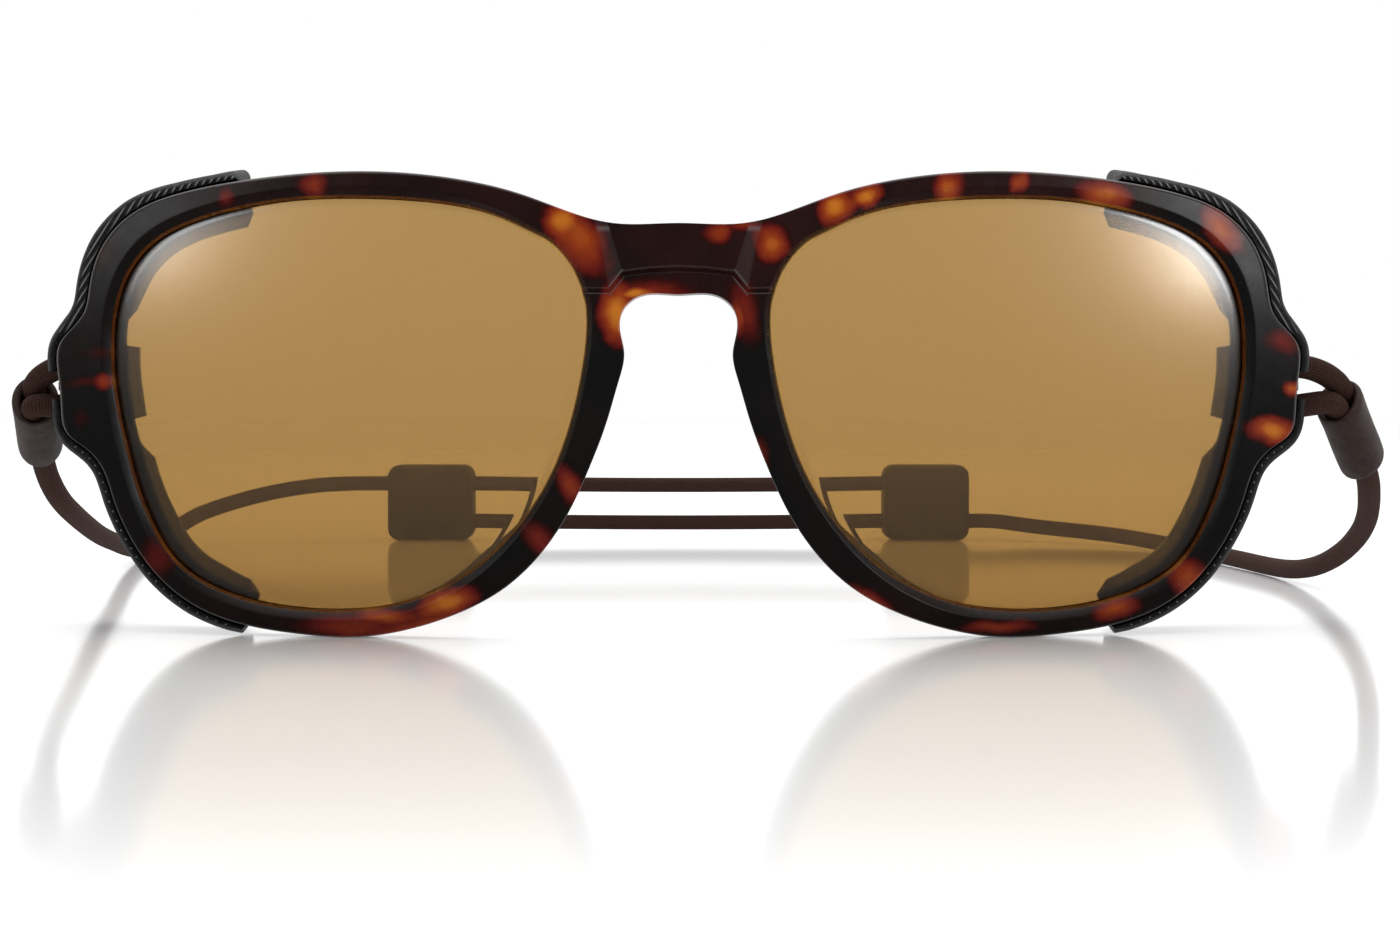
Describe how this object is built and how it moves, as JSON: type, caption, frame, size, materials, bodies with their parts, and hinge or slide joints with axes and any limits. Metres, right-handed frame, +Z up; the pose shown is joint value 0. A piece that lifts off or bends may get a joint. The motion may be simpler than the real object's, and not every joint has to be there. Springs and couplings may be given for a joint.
{
  "type": "glacier glasses",
  "caption": "Armless mountaineering sunglasses: tortoiseshell front, amber lenses, clip-on rubber side shields and a cord strap with two sliders.",
  "frame": {"origin": "on the ground, in the middle of the front with its lenses and shields, the cord and what is on it left out", "axes": "+X runs along the width of the front to the wearer's left, -Y is the front, +Z is up"},
  "size_m": [0.186, 0.1949, 0.0543],
  "materials": {
    "tortoiseshell": "polished dark tortoiseshell with amber and red patches",
    "amber_lens": "amber tinted, glossy",
    "black_rubber": "fine grained, matte",
    "brown_cord": "fine woven round cord",
    "shrink_sleeve": "smooth, matte with a soft sheen",
    "crimp_metal": "plain",
    "slider_rubber": "matte"
  },
  "bodies": {
    "front": {"front_frame": "tortoiseshell", "lens_left": "amber_lens", "lens_right": "amber_lens", "cord_loop_left": "brown_cord", "cord_loop_right": "brown_cord", "sleeve_left": "shrink_sleeve", "sleeve_right": "shrink_sleeve", "crimp_left": "crimp_metal", "crimp_right": "crimp_metal", "cord_run_left": "brown_cord", "cord_run_right": "brown_cord"},
    "left_shield": {"shield_left": "black_rubber"},
    "right_shield": {"shield_right": "black_rubber"},
    "left_slider": {"slider_left": "slider_rubber", "cord_stop_right": "crimp_metal", "cord_tail_right": "brown_cord"},
    "right_slider": {"slider_right": "slider_rubber", "cord_stop_left": "crimp_metal", "cord_tail_left": "brown_cord"}
  },
  "joints": [
    {"name": "shield_left_off", "type": "slide", "parent": "front", "child": "left_shield", "axis": [0, 1, 0], "range_m": [0, 0.02]},
    {"name": "shield_right_off", "type": "slide", "parent": "front", "child": "right_shield", "axis": [0, 1, 0], "range_m": [0, 0.02]},
    {"name": "slider_left_slide", "type": "slide", "parent": "front", "child": "left_slider", "axis": [1, 0, 0], "range_m": [-0.004, 0.03], "deforming": ["cord_run_left", "cord_run_right", "cord_tail_left", "cord_tail_right"]},
    {"name": "slider_right_slide", "type": "slide", "parent": "front", "child": "right_slider", "axis": [-1, 0, 0], "range_m": [-0.004, 0.03], "deforming": ["cord_run_left", "cord_run_right", "cord_tail_left", "cord_tail_right"]}
  ]
}
